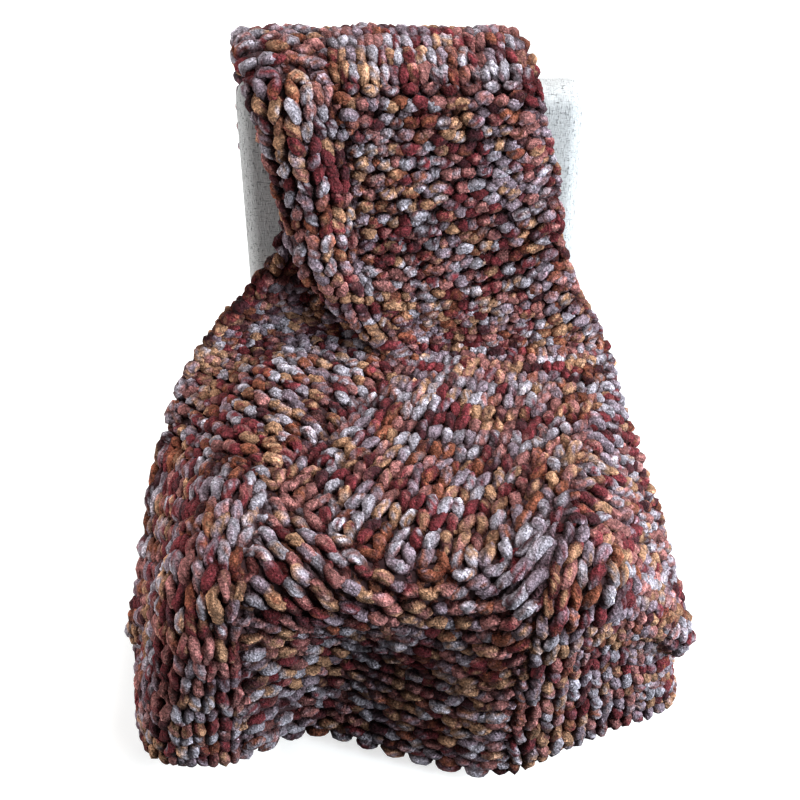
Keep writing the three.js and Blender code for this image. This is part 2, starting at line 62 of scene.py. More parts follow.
# Throw, as in the solids: its width is counted in flat columns from the left selvedge
CLOTH_WIDTH, LAYER_PITCH, MIDDLE_COLUMN, PLEAT_COLUMN = 1120, 22, 600, 350
LEFT_RISE_COLUMN, RIGHT_RISE_COLUMN, RIGHT_TUCK_COLUMN, RIGHT_RETURN_COLUMN = 420, 655, 800, 1030
SOFT_BEND, LAG_POWER, HANG_START = 150, 1.5, 30
REAR_DROP, TOP_RADIUS, CREASE_RADIUS, FRONT_RADIUS, HEM_HEIGHT = 150, 32, 90, 34, 14
FOLD_ARC = math.pi * LAYER_PITCH / 2

LEAN = math.tan(math.radians(BACK_RECLINE))
BACK_RISE = BACK_TOP - SEAT_TOP
REAR_FACE = SEAT_DEPTH + BACK_RISE * LEAN + BACK_THICK
CREASE_REACH = CREASE_RADIUS * math.tan(math.radians((90 - BACK_RECLINE) / 2))
BACK_RUN = (BACK_RISE - TOP_RADIUS) / math.cos(math.radians(BACK_RECLINE)) - CREASE_REACH

# Way of the throw's middle over the chair: y, z and heading of its start, and then, for each stretch,
# a straight run, a turn in degrees and the radius of the turn
WAY_START = (REAR_FACE, BACK_TOP - TOP_RADIUS - REAR_DROP, 90)
WAY = [
    (REAR_DROP, 90, TOP_RADIUS),
    (BACK_THICK - 2 * TOP_RADIUS, 90 - BACK_RECLINE, TOP_RADIUS),
    (BACK_RUN, BACK_RECLINE - 90, CREASE_RADIUS),
    (SEAT_DEPTH - CREASE_REACH - FRONT_RADIUS, 90, FRONT_RADIUS),
    (SEAT_TOP - FRONT_RADIUS - HEM_HEIGHT, 0, 0),
]
WAY_LENGTH = sum(run + abs(math.radians(turn)) * radius for run, turn, radius in WAY)
FRONT_EDGE_AT = WAY_LENGTH - WAY[4][0] - math.pi / 2 * FRONT_RADIUS

# Cross sections along the way, as in the solids
SECTION_NAMES = [
    "at", "x", "lift", "tuck", "ease_hidden", "ease_left", "left_rise", "left_edge", "left_fall",
    "right_rise", "right_edge", "right_fall", "under", "right_return", "ease_right", "ease_under",
    "lag_left", "lag_right",
]
SECTIONS = np.array([
    [0, -40, 58, 160, 0.95, 0.95, 0, 80, 0, 0, 800, 0, 800, 0, 1, 0.6, 0, 0],
    [150, -38, 58, 160, 0.95, 0.95, 0, 80, 0, 0, 800, 0, 800, 0, 1, 0.6, 0, 0],
    [195, -28, 63, 160, 0.95, 0.95, 0, 80, 0, 0, 800, 0, 800, 0, 1, 0.6, 0, 0],
    [250, -4, 61, 160, 0.95, 0.91, 0, 80, 0, 0, 800, 0, 800, 0, 1, 0.6, 0, 0],
    [340, 27, 59, 166, 1, 0.94, 0, 80, 0, 0, 800, 0, 800, 0, 0.98, 0.6, 0, 0],
    [480, 50, 58, 192, 1, 0.92, 0, 80, 0, 0, 800, 0, 800, 0, 0.98, 0.6, 0, 0],
    [590, 100, 58, 272, 1, 0.83, 0, 90, 0, 0, 800, -10, 805, 0, 0.99, 0.6, 30, 0],
    [676, 190, 48, 350, 0.97, 0.8, 0, 100, -10, 0, 800, -32, 815, 0, 0.7, 0.65, 60, 5],
    [760, 150, 38, 350, 0.95, 0.89, 0, 180, -22, 0, 810, -46, 845, 0, 0.84, 0.75, 90, 18],
    [830, 114, 32, 350, 0.97, 0.95, 0, 205, -36, 0, 810, -56, 930, 0, 0.925, 0.85, 112, 30],
    [890, 87, 26, 350, 1, 1, 0, 230, -50, 0, 815, -54, 1030, 0, 0.975, 0.95, 130, 42],
    [970, 64, 22, 350, 1, 1, 0, 250, -52, 0, 830, -54, 1130, 0, 1, 1, 152, 60],
    [1060, 40, 20, 350, 1, 1, 0, 270, -66, 0, 845, -59, 1160, 0, 1, 1, 170, 80],
    [1155, 21, 20, 350, 1, 1, 4, 250, -71, 3, 850, -59, 1160, -10, 0.99, 1, 155, 96],
    [1250, 15, 18, 350, 1, 0.86, 6, 215, -79, 8, 820, -51, 1160, -30, 0.965, 1, 130, 104],
    [1340, 15, 2, 350, 1, 0.88, 9, 190, -86, 14, 775, -47, 1160, -50, 0.98, 1.04, 105, 104],
    [1440, 15, -10, 350, 1, 0.94, 10, 170, -88, 18, 752, -47, 1160, -60, 1.05, 1.1, 80, 100],
    [1620, 15, -16, 350, 1, 0.97, 10, 160, -88, 20, 750, -49, 1160, -70, 1.12, 1.12, 50, 95],
], float)

# Soft ridges and troughs: start and end as place and column, height, reach
FOLDS = [
    (270, 410, 668, 386, 32, 42),  # lapel crown
    (684, 450, 688, 780, -30, 38),  # rear crease
    (772, 470, 772, 770, 14, 45),  # rear swell
    (900, 785, 1190, 765, 34, 50),  # right ridge
    (1190, 765, 1640, 690, 30, 70),  # low ridge
    (540, 0, 740, 0, 44, 38),  # left roll
    (640, 70, 660, 250, -46, 45),  # left crease
    (780, 190, 970, 230, 28, 100),  # left hump
    (790, 405, 1130, 350, -12, 32),  # seat valley
    (840, 520, 1100, 520, 12, 80),  # seat swell
    (1130, 265, 1420, 225, 32, 85),  # left ear
    (370, 540, 400, 770, 6, 30),  # high sag
    (520, 500, 570, 760, 10, 28),  # low sag
    (1300, 470, 1640, 420, -60, 95),  # front hollow
]

# Grid of the sheet and its settling, as in the solids
COLUMN_BANDS = [(140, 4), (375, 16), (780, 10), (CLOTH_WIDTH, 20)]
ROW_COUNT, WALK_STEPS, LENGTH_SAMPLES = 50, 150, 500
SETTLE_STEPS, SETTLE_GAIN, SHAPE_HOLD, LOOSE_EDGE = 240, 0.3, 0.008, 200
SMOOTH_EVERY, SMOOTH_GAIN, PINNED_ROW, FREE_ROW = 4, 0.07, 700, 900
STRAIGHT_LIMITS, SLANT_LIMITS = (0.5, 1.15), (0.5, 1.25)
LAYER_GAP, CHAIR_CLEARANCE = 30, 17

# Knit: a basket weave of three blocks across and four along, their faces knit and purl by turns
LEFT_WALES, MIDDLE_WALES, RIGHT_WALES = 9, 10, 9
BLOCK_COURSES = (13, 22, 17, 17)
BLOCK_ROWS = (0, 388, 928, 1458)
WALES = LEFT_WALES + MIDDLE_WALES + RIGHT_WALES
COURSES = sum(BLOCK_COURSES)
FACE_BLEND, COURSE_MARGIN = 0.9, 0.15

# Borders of the middle block: flat row, left column, right column
BLOCK_BORDERS = np.array([
    (0, 480, 790), (300, 492, 790), (624, 465, 789), (735, 452, 788), (935, 408, 797),
    (1100, 403, 801), (1220, 404, 798), (1310, 375, 794), (1385, 358, 794), (1458, 334, 791),
    (1530, 337, 770), (1600, 331, 760), (1690, 309, 745), (1895, 298, 728),
], float)

# How far the courses run ahead: flat column, way on the chair's back, way on the seat's front edge,
# and the flat rows over which each comes and goes
COURSE_BOW = np.array([
    (0, 0, 245), (103, 0, 190), (261, 0, 110), (335, 0, 100), (400, 0, 60), (480, 0, 15), (600, 16, 0),
    (700, 36, 0), (790, 50, 50), (850, 54, 40), (935, 54, 68), (1120, 54, 70),
], float)
BACK_BOW_START, BACK_BOW_FULL, BACK_BOW_DROP, BACK_BOW_END = 400, 700, 820, 1000
BOW_START, BOW_FULL = 300, 1400

# How much the columns of the lapel crowd together, and the flat rows over which that fades
LAPEL_CROWD, CROWD_FULL, CROWD_END = 0.32, 700, 1000

# Loops: lean and height as shares of a stitch, and depth, yarn, margins and uneven shifts in millimetres
LOOP_LEAN, LOOP_DEPTH = 0.19, 6.0
PURL_HEIGHT, KNIT_HEIGHT = 0.62, 0.78
YARN_RADIUS, YARN_SWELL, YARN_LUMPS = 8.8, 0.16, 0.05
YARN_RINGS, YARN_SIDES = 22, 10
KNIT_MARGIN, SELVEDGE_BULGE, SELVEDGE_POINTS = 6, 5, 5
HAND_SHIFT = (3.4, 3.0, 2.2)
YARN_PIECES, SHADE_SHEET_COLUMNS, SHADE_SHEET_ROWS, NORMAL_REACH = 5, 100, 150, 4

# Yarn colours, as shown on a screen, with how often each comes up
YARN_COLOURS = {
    "mist": ((194, 187, 200), 0.18),
    "lavender": ((166, 147, 161), 0.15),
    "rose taupe": ((176, 118, 115), 0.17),
    "camel": ((196, 149, 118), 0.15),
    "rust": ((152, 90, 69), 0.08),
    "burgundy": ((124, 53, 59), 0.19),
    "plum": ((80, 43, 49), 0.08),
}
COLOUR_RUN, COLOUR_BLEND, COLOUR_STRAY, COLOUR_SPREAD = (26, 85), 28, 20, (0.85, 1.15)

# Pile: height of its tufts, painted light and shade that pales a tuft standing out and darkens a sunk
# one, and painted shade between the loops: the heights where it is full and gone, and its colour
TUFT_HEIGHT, TUFT_PAINTED_SHADING = 1.0, 0.36
SHADE_FULL_HEIGHT, SHADE_FREE_HEIGHT, PAINTED_HOLLOW_SHADE = 4, 15, np.array((0.26, 0.17, 0.17))

# Materials: colours as on a screen, patterns by their scale to the metre, the span of their values
# that counts and its tones, and relief in metres
# Tufts: their tones are painted shade, pale at each tuft's middle and dark at its border, and they also
# give its relief
TUFT_SCALE, TUFT_SPAN, TUFT_BORDER_SHADE_TONES, TUFT_RELIEF = 210, (0.1, 0.65), (1.15, 0.54), 0.0045
FIBRE_SCALE, FIBRE_SPAN, FIBRE_TONES, FIBRE_RELIEF = 380, (0.37, 0.6), (0.46, 1.22), 0.003
FIBRE_DETAIL, FIBRE_ROUGHNESS = 3, 0.65
# Shade sheet: its dark colour and tones are painted shade between the loops
SHADE_SHEET_COLOUR, SHADE_SHEET_SCALE, SHADE_SHEET_SPAN, SHADE_SHEET_TONES = (58, 34, 38), 260, (0.3, 0.7), (0.6, 1.2)
TWEED_COLOUR, WEFT_SCALES, WARP_SCALES = (183, 185, 187), (110, 620, 620), (620, 110, 110)
THREAD_SPAN, THREAD_TONES, THREAD_RELIEF, THREAD_STRENGTH = (0.35, 0.6), (1.08, 0.92), 0.0012, 0.6
FLECK_SPAN, FLECK_TONES = (0.62, 0.68), (1.0, 0.38)
WOOD_COLOUR, GRAIN_SCALES, GRAIN_DETAIL = (84, 60, 44), (180, 180, 12), 4.0
GRAIN_SPAN, GRAIN_TONES, GRAIN_RELIEF, GRAIN_STRENGTH = (0.3, 0.7), (0.6, 1.25), 0.0006, 0.5

# Floor and backdrop, in metres, and how pale and how bright in itself it is
FLOOR_REACH, COVE_RADIUS, BACKDROP_HEIGHT, COVE_SIDES, COVE_POINTS = 7, 3, 9, 96, 17
FLOOR_TONE, FLOOR_GLOW = 0.6, 0.62

# Lights: place and target in metres, width, power, colour
LIGHTS = {
    "window": ((3.0, -1.3, 1.7), (0, 0, 0.6), 2.0, 265, (0.88, 0.96, 1)),
    "softbox": ((0.9, 0.1, 4.1), (0, 0, 0.5), 1.4, 148, (1, 0.98, 0.95)),
    "bounce": ((-3.0, -0.4, 0.6), (-0.2, 0.1, 0.7), 1.2, 90, (1, 0.98, 0.95)),
    "rear": ((-1.0, 3.2, 1.0), (0, 0.2, 0.6), 1.6, 70, (1, 1, 1)),
}
WORLD_LIGHT = 0.06

# View, in millimetres, degrees and pixels: the camera stands in front of the chair and looks down
CAMERA_AT, CAMERA_PITCH, FOCAL_PIXELS, CENTRE_PIXEL = (0, -1200, 1800), 39.7, 1250, 410
IMAGE_SIZE, SENSOR = 800, 36

seat_low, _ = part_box("chair_seat")
ORIGIN = np.array(seat_low) - np.array((-SEAT_WIDTH / 2, 0, SEAT_TOP - SEAT_THICK)) / 1000


def to_scene(points):
    return np.asarray(points) / 1000 + ORIGIN


def clip01(value):
    return np.clip(value, 0, 1)


def soft_step(value):
    """Smooth rise from 0 to 1."""
    value = clip01(value)
    return value * value * (3 - 2 * value)


def unit(vectors):
    return vectors / np.maximum(np.linalg.norm(vectors, axis=-1, keepdims=True), TINY)


def run_lengths(points):
    """Length of a line of points up to each of them."""
    return np.concatenate([[0], np.cumsum(np.linalg.norm(np.diff(points, axis=0), axis=1))])


# Drape
def way_points(at):
    """y, z and the angle of lift of the way at each distance from its start."""
    y, z, heading = WAY_START
    out_y, out_z, out_angle = np.empty_like(at), np.empty_like(at), np.empty_like(at)
    begin = -np.inf
    start = 0
    for run, turn, radius in WAY:
        angle = math.radians(heading)
        on = at >= begin
        out_y[on] = (y + (at - start) * math.cos(angle))[on]
        out_z[on] = (z + (at - start) * math.sin(angle))[on]
        out_angle[on] = angle
        y, z, start = y + run * math.cos(angle), z + run * math.sin(angle), start + run
        if turn:
            side = math.copysign(1, turn)
            on = at >= start
            turned = angle + side * (at - start) / radius
            out_y[on] = (y + side * radius * (np.sin(turned) - math.sin(angle)))[on]
            out_z[on] = (z - side * radius * (np.cos(turned) - math.cos(angle)))[on]
            out_angle[on] = turned[on]
            end = angle + math.radians(turn)
            y += side * radius * (math.sin(end) - math.sin(angle))
            z -= side * radius * (math.cos(end) - math.cos(angle))
            start += abs(math.radians(turn)) * radius
            heading += turn
        begin = start
    return out_y, out_z, out_angle - math.pi / 2


def gentle_slopes(places, values):
    """Slopes of a smooth curve through a table's rows that never overshoots them."""
    pitch = np.diff(places)[:, None]
    rate = np.diff(values, axis=0) / pitch
    slopes = np.zeros_like(values)
    slopes[0], slopes[-1] = rate[0], rate[-1]
    before, after = 2 * pitch[1:] + pitch[:-1], pitch[1:] + 2 * pitch[:-1]
    same = rate[:-1] * rate[1:] > 0
    safe = np.where(same, rate[:-1], 1), np.where(same, rate[1:], 1)
    slopes[1:-1] = np.where(same, (before + after) / (before / safe[0] + after / safe[1]), 0)
    return slopes


def table_at(table, at):
    """A table's columns at places between its rows, which its first column gives."""
    places = table[:, 0]
    slopes = gentle_slopes(places, table)
    i = np.clip(np.searchsorted(places, at) - 1, 0, len(places) - 2)
    pitch = (places[i + 1] - places[i])[..., None]
    t = clip01((at - places[i])[..., None] / pitch)
    values = (
        (2 * t**3 - 3 * t**2 + 1) * table[i]
        + (t**3 - 2 * t**2 + t) * pitch * slopes[i]
        + (3 * t**2 - 2 * t**3) * table[i + 1]
        + (t**3 - t**2) * pitch * slopes[i + 1]
    )
    return np.moveaxis(values, -1, 0)


def section_at(at):
    return dict(zip(SECTION_NAMES, table_at(SECTIONS, at)))


def fold_lift(at, column):
    """Extra lift of the ridges and troughs."""
    lift = np.zeros(np.broadcast(at, column).shape)
    for from_at, from_column, to_at, to_column, height, reach in FOLDS:
        run_at, run_column = to_at - from_at, to_column - from_column
        length = math.hypot(run_at, run_column)
        along = ((at - from_at) * run_at + (column - from_column) * run_column) / length
        off = ((at - from_at) * run_column - (column - from_column) * run_at) / length
        past = along - np.clip(along, 0, length)
        lift += height * np.exp(-(off**2 + past**2) / reach**2)
    return lift


def left_turn(section, column):
    """Angle of a section left of its middle: turned under at the pleat, out again at the tuck."""
    return (
        -180 * clip01((PLEAT_COLUMN - column) / FOLD_ARC + 0.5)
        + 180 * clip01((section["tuck"] - column) / FOLD_ARC + 0.5)
        + section["left_rise"] * soft_step((LEFT_RISE_COLUMN - column) / SOFT_BEND + 0.5)
        + section["left_fall"] * soft_step((section["left_edge"] - column) / SOFT_BEND + 0.5)
    )


def right_turn(section, column):
    """Angle of a section right of its middle: its fall over the side, and the part turned under."""
    under = section["under"]
    hang_back = under + (under - RIGHT_TUCK_COLUMN) / section["ease_under"]
    fall = section["right_fall"]
    return (
        section["right_rise"] * soft_step((column - RIGHT_RISE_COLUMN) / SOFT_BEND + 0.5)
        + fall * soft_step((column - section["right_edge"]) / SOFT_BEND + 0.5)
        - 180 * clip01((column - under) / FOLD_ARC + 0.5)
        - fall * soft_step((column - hang_back) / SOFT_BEND + 0.5)
        + section["right_return"] * soft_step((column - RIGHT_RETURN_COLUMN) / SOFT_BEND + 0.5)
    )


def walk_sections(section, at, column):
    """Way out, up, back and down of each point, walked along its section from the middle column."""
    section = {name: value[..., None] for name, value in section.items()}
    step = (column - MIDDLE_COLUMN)[..., None] / WALK_STEPS
    here = MIDDLE_COLUMN + step * (np.arange(WALK_STEPS) + 0.5)
    left = step < 0
    turn = np.radians(np.where(left, left_turn(section, here), right_turn(section, here)))
    left_ease = np.where(here > PLEAT_COLUMN, section["ease_left"], section["ease_hidden"])
    right_ease = np.where(here > section["under"], section["ease_under"], section["ease_right"])
    edge = np.where(left, section["left_edge"] - here, here - section["right_edge"])
    beyond = HANG_START + edge
    drop = (at - FRONT_EDGE_AT)[..., None]
    hangs = (drop > 0) & (beyond > 0)
    reach = np.where(hangs, np.hypot(drop, beyond), 1)
    rise = np.sin(turn) * np.abs(step)
    out = (np.cos(turn) * np.where(left, left_ease, right_ease) * step).sum(-1)
    up = np.where(hangs, 0, rise).sum(-1)
    back = np.where(hangs, -rise * drop / reach, 0).sum(-1)
    down = np.where(hangs, -rise * beyond / reach, 0).sum(-1)
    return out, up, back, down


def lifted(at, x, lift, back=0, down=0):
    """Points over the way, lifted off it and moved back and down."""
    y, z, angle = way_points(at)
    return np.stack([x, y + lift * np.cos(angle) + back, z + lift * np.sin(angle) - down], -1)


def even_rows():
    """Places along the way, and the length of the middle column up to each."""
    at = np.linspace(0, WAY_LENGTH, LENGTH_SAMPLES + 1)
    section = section_at(at)
    points = lifted(at, section["x"], section["lift"] + fold_lift(at, MIDDLE_COLUMN))
    return at, run_lengths(points)


ROW_PLACES, ROW_LENGTHS = even_rows()
CLOTH_LENGTH = ROW_LENGTHS[-1]


def draped_points(columns, rows):
    """Middle of the sheet before it settles, at every flat row and column."""
    middle = np.interp(rows, ROW_LENGTHS, ROW_PLACES)[:, None]
    trail = section_at(middle)
    left = clip01((MIDDLE_COLUMN - columns) / MIDDLE_COLUMN)
    right = clip01((columns - MIDDLE_COLUMN) / (CLOTH_WIDTH - MIDDLE_COLUMN)) ** LAG_POWER
    at = middle - trail["lag_left"] * left - trail["lag_right"] * right
    section = section_at(at)
    column = np.broadcast_to(columns, at.shape)
    out, up, back, down = walk_sections(section, at, column)
    return lifted(at, section["x"] + out, section["lift"] + up + fold_lift(at, column), back, down)


# Settling
def clear_of_block(points, low, high):
    """Push that brings points clear of a block with rounded edges."""
    low, high = np.array(low, float), np.array(high, float)
    centre, half = (low + high) / 2, (high - low) / 2 - PAD_EDGE
    away = points - centre
    over = np.abs(away) - half
    deepest = over.max(-1)
    outside = np.maximum(over, 0)
    length = np.linalg.norm(outside, axis=-1)
    distance = np.where(deepest <= 0, deepest, length) - PAD_EDGE
    inner = np.eye(3)[over.argmax(-1)]
    outer = outside / np.maximum(length, TINY)[..., None]
    direction = np.where((deepest <= 0)[..., None], inner, outer) * np.sign(away)
    return np.maximum(CHAIR_CLEARANCE - distance, 0)[..., None] * direction


def clear_of_chair(points):
    """Points moved clear of the seat, the leaning back and the floor."""
    half = SEAT_WIDTH / 2
    low, high = (-half, 0, SEAT_TOP - SEAT_THICK), (half, SEAT_DEPTH + BACK_THICK, SEAT_TOP)
    points = points + clear_of_block(points, low, high)
    upright = points.copy()
    upright[..., 1] -= (points[..., 2] - SEAT_TOP) * LEAN
    half = BACK_WIDTH / 2
    low, high = (-half, SEAT_DEPTH, SEAT_TOP), (half, SEAT_DEPTH + BACK_THICK, BACK_TOP)
    points = points + clear_of_block(upright, low, high)
    points[..., 2] = np.maximum(points[..., 2], HEM_HEIGHT)
    return points


def flat_columns():
    """Flat columns of the grid, closer together where the cloth folds."""
    columns = [0.0]
    for to, count in COLUMN_BANDS:
        columns += list(np.linspace(columns[-1], to, count + 1)[1:])
    return np.array(columns)


COLUMNS = flat_columns()
ROWS = np.linspace(0, CLOTH_LENGTH, ROW_COUNT + 1)


def tie_moves(grid):
    """Moves that bring stretched, squeezed and slanted patches back to their limits."""
    width, height = np.diff(COLUMNS)[None], ROWS[1]
    every, first, last = slice(None), slice(0, -1), slice(1, None)
    ties = [
        ((every, first), (every, last), width, STRAIGHT_LIMITS),
        ((first, every), (last, every), np.full((1, len(COLUMNS)), height), STRAIGHT_LIMITS),
        ((first, first), (last, last), np.hypot(width, height), SLANT_LIMITS),
        ((first, last), (last, first), np.hypot(width, height), SLANT_LIMITS),
    ]
    moves = np.zeros_like(grid)
    for one, other, flat, (least, most) in ties:
        pull = grid[other] - grid[one]
        length = np.linalg.norm(pull, axis=2)
        wanted = np.clip(length, least * flat, most * flat)
        pull *= ((length - wanted) / length / 2)[..., None]
        moves[one] += pull
        moves[other] -= pull
    return moves


def bend_moves(grid):
    """Towards the middle of each point's neighbours in its row and in its column."""
    width = np.diff(COLUMNS)
    share = (width[:-1] / (width[:-1] + width[1:]))[None, :, None]
    moves = np.zeros_like(grid)
    moves[1:-1] = grid[2:] + grid[:-2] - 2 * grid[1:-1]
    moves[:, 1:-1] += grid[:, :-2] * (1 - share) + grid[:, 2:] * share - grid[:, 1:-1]
    return moves


def layer_moves(grid):
    """Parts layers that lie close though they are well apart on the flat sheet."""
    live = ROWS > PINNED_ROW - 2 * ROWS[1]
    points = grid[live].reshape(-1, 3)
    flat_row, flat_column = (q.ravel() for q in np.meshgrid(ROWS[live], COLUMNS, indexing="ij"))
    squares = (points**2).sum(1)
    distance = np.sqrt(np.maximum(squares[:, None] + squares[None] - 2 * points @ points.T, TINY))
    one, other = np.where(distance < LAYER_GAP)
    apart = np.hypot(flat_row[one] - flat_row[other], flat_column[one] - flat_column[other])
    one, other = one[apart > 2 * LAYER_GAP], other[apart > 2 * LAYER_GAP]
    near = distance[one, other][:, None]
    push = np.zeros_like(points)
    np.add.at(push, one, (points[one] - points[other]) / near * (LAYER_GAP - near) / 2)
    push /= np.maximum(np.bincount(one, minlength=len(points)), 1)[:, None]
    moves = np.zeros_like(grid)
    moves[live] = push.reshape(moves[live].shape)
    return moves


def settled_grid():
    """Points of the settled sheet at the grid's rows and columns; its upper rows stay as draped."""
    draped = draped_points(COLUMNS, ROWS)
    grid = draped.copy()
    ease = clip01((ROWS - PINNED_ROW) / (FREE_ROW - PINNED_ROW))[:, None, None]
    inner = clip01(np.minimum(COLUMNS, CLOTH_WIDTH - COLUMNS) / LOOSE_EDGE)[None, :, None]
    for step in range(1, SETTLE_STEPS + 1):
        grid = grid + ease * SETTLE_GAIN * tie_moves(grid)
        grid = grid + ease * inner * SHAPE_HOLD * (draped - grid)
        if step % SMOOTH_EVERY == 0:
            grid = grid + ease * SMOOTH_GAIN * bend_moves(grid)
            grid = grid + ease * layer_moves(grid)
        grid = np.where(ease > 0, clear_of_chair(grid), grid)
    return grid


GRID = settled_grid()


def curve_weights(places, query):
    """Index and weights of the four grid lines that a smooth curve takes at each query."""
    last = len(places) - 1
    i = np.clip(np.searchsorted(places, query) - 1, 0, last - 1)
    lines = np.clip(np.stack([i - 1, i, i + 1, i + 2]), 0, last)
    pitch = places[i + 1] - places[i]
    t = (query - places[i]) / pitch
    rise_in = (t**3 - 2 * t**2 + t) * pitch / (places[lines[2]] - places[lines[0]])
    rise_out = (t**3 - t**2) * pitch / (places[lines[3]] - places[lines[1]])
    here, there = 2 * t**3 - 3 * t**2 + 1, 3 * t**2 - 2 * t**3
    return lines, np.stack([-rise_in, here - rise_out, there + rise_in, rise_out])


def sheet_points(column, row):
    """Points of the settled sheet at flat columns and rows."""
    lines, line_weights = curve_weights(COLUMNS, column)
    courses, course_weights = curve_weights(ROWS, row)
    points = np.zeros(column.shape + (3,))
    for a in range(4):
        for b in range(4):
            weight = course_weights[a] * line_weights[b]
            points += weight[..., None] * GRID[courses[a], lines[b]]
    return points


def sheet_normals(column, row):
    across = sheet_points(column + NORMAL_REACH, row) - sheet_points(column - NORMAL_REACH, row)
    along = sheet_points(column, row + NORMAL_REACH) - sheet_points(column, row - NORMAL_REACH)
    return unit(np.cross(along, across))


# Meshes
def mesh_piece(name, points, faces, material, tint=None):
    """A smooth mesh piece from points, in metres, and arrays of faces with three or four corners."""
    sizes = np.concatenate([np.full(len(part), part.shape[1]) for part in faces])
    corners = np.concatenate([part.ravel() for part in faces]).astype(np.int32)
    mesh = bpy.data.meshes.new(name)
    mesh.vertices.add(len(points))
    mesh.vertices.foreach_set("co", np.asarray(points, np.float32).ravel())
    mesh.loops.add(len(corners))
    mesh.loops.foreach_set("vertex_index", corners)
    mesh.polygons.add(len(sizes))
    mesh.polygons.foreach_set("loop_start", (np.cumsum(sizes) - sizes).astype(np.int32))
    mesh.polygons.foreach_set("use_smooth", np.ones(len(sizes), bool))
    if tint is not None:
        layer = mesh.attributes.new("tint", "FLOAT_COLOR", "POINT")
        opaque = np.column_stack([tint, np.ones(len(tint))])
        layer.data.foreach_set("color", opaque.astype(np.float32).ravel())
    mesh.update()
    mesh.validate()
    mesh.materials.append(material)
    piece = bpy.data.objects.new(name, mesh)
    bpy.context.scene.collection.objects.link(piece)
    return piece


def full_turn(sides):
    return np.arange(sides) / sides * 2 * math.pi


def turned_rings(profile, sides, x=0, y=0):
    """Rings of points round an upright line, for a profile of radii and heights."""
    angle = full_turn(sides)
    return np.array([
        np.stack([x + radius * np.cos(angle), y + radius * np.sin(angle), np.full(sides, height)], -1)
        for radius, height in profile
    ])


def ring_faces(rings, sides):
    """Quads between neighbouring rings of points."""
    ring = np.arange(rings - 1)[:, None] * sides
    side = np.arange(sides)[None]
    after = (side + 1) % sides
    quads = np.stack([ring + side, ring + after, ring + sides + after, ring + sides + side], -1)
    return quads.reshape(-1, 4)


def cap_faces(first, sides, middle):
    """Triangles that close the ring which begins at a first point, to a middle point."""
    side = np.arange(sides)
    after = (side + 1) % sides
    return np.stack([first + side, first + after, np.full(sides, middle)], -1)


def closed_piece(name, rings, material):
    """A piece closed over its rings of points, which are in millimetres in the chair's frame."""
    rings = np.array(rings)
    count, sides = rings.shape[:2]
    middle = count * sides
    bottom = cap_faces(0, sides, middle)[:, [1, 0, 2]]
    top = cap_faces(middle - sides, sides, middle + 1)
    points = np.concatenate([rings.reshape(-1, 3), rings[[0, -1]].mean(1)])
    return mesh_piece(name, to_scene(points), [ring_faces(count, sides), bottom, top], material)


# Materials
def new_material(name, roughness, sheen=0.0, specular=0.5):
    material = bpy.data.materials.new(name)
    material.use_nodes = True
    shader = material.node_tree.nodes["Principled BSDF"]
    shader.inputs["Roughness"].default_value = roughness
    shader.inputs["Sheen Weight"].default_value = sheen
    shader.inputs["Specular IOR Level"].default_value = specular
    return material, shader


def add_node(material, kind, settings=None, inputs=None):
    """A node with its settings and, by input name, its values or the sockets linked to them."""
    tree = material.node_tree
    node = tree.nodes.new(kind)
    for key, value in (settings or {}).items():
        setattr(node, key, value)
    for key, value in (inputs or {}).items():
        if isinstance(value, bpy.types.NodeSocket):
            tree.links.new(value, node.inputs[key])
        else:
            node.inputs[key].default_value = value
    return node


def linear(colour):
    """Linear value of a colour given as 0 to 255 on a screen."""
    share = np.asarray(colour, float) / 255
    return np.where(share <= 0.04045, share / 12.92, ((share + 0.055) / 1.055) ** 2.4)


def plain_colour(material, colour):
    node = add_node(material, "ShaderNodeRGB")
    node.outputs["Color"].default_value = (*linear(colour), 1)
    return node.outputs["Color"]


def own_place(material):
    return add_node(material, "ShaderNodeTexCoord").outputs["Object"]


def noise(material, scale, detail=2.0, roughness=0.5):
    node = add_node(material, "ShaderNodeTexNoise", inputs={
        "Vector": own_place(material), "Scale": scale, "Detail": detail, "Roughness": roughness,
    })
    return node.outputs["Fac"]


def drawn_noise(material, scales, detail=2.0):
    """Noise drawn out to threads or grain by its own scale along each axis."""
    stretch = add_node(material, "ShaderNodeMapping", inputs={
        "Vector": own_place(material), "Scale": scales,
    })
    node = add_node(material, "ShaderNodeTexNoise", inputs={
        "Vector": stretch.outputs["Vector"], "Scale": 1.0, "Detail": detail,
    })
    return node.outputs["Fac"]


def tufts(material, scale):
    """Distance from the middle of each tuft."""
    node = add_node(material, "ShaderNodeTexVoronoi", settings={"feature": "SMOOTH_F1"}, inputs={
        "Vector": own_place(material), "Scale": scale, "Smoothness": 0.5,
    })
    return node.outputs["Distance"]


def ramp(material, socket, span, tones):
    """Tones over a span of a pattern's values."""
    node = add_node(material, "ShaderNodeMapRange", inputs={
        "Value": socket, "From Min": span[0], "From Max": span[1], "To Min": tones[0], "To Max": tones[1],
    })
    return node.outputs["Result"]


def times(material, colour, factor):
    node = add_node(material, "ShaderNodeVectorMath", settings={"operation": "SCALE"}, inputs={
        "Vector": colour, "Scale": factor,
    })
    return node.outputs["Vector"]


def paint(material, shader, colour):
    material.node_tree.links.new(colour, shader.inputs["Base Color"])


def bump(material, shader, height, distance, strength=1.0, under=None):
    """Relief of a pattern, in metres, on the relief under it."""
    inputs = {"Height": height, "Distance": distance, "Strength": strength}
    if under is not None:
        inputs["Normal"] = under
    node = add_node(material, "ShaderNodeBump", inputs=inputs)
    material.node_tree.links.new(node.outputs["Normal"], shader.inputs["Normal"])
    return node.outputs["Normal"]


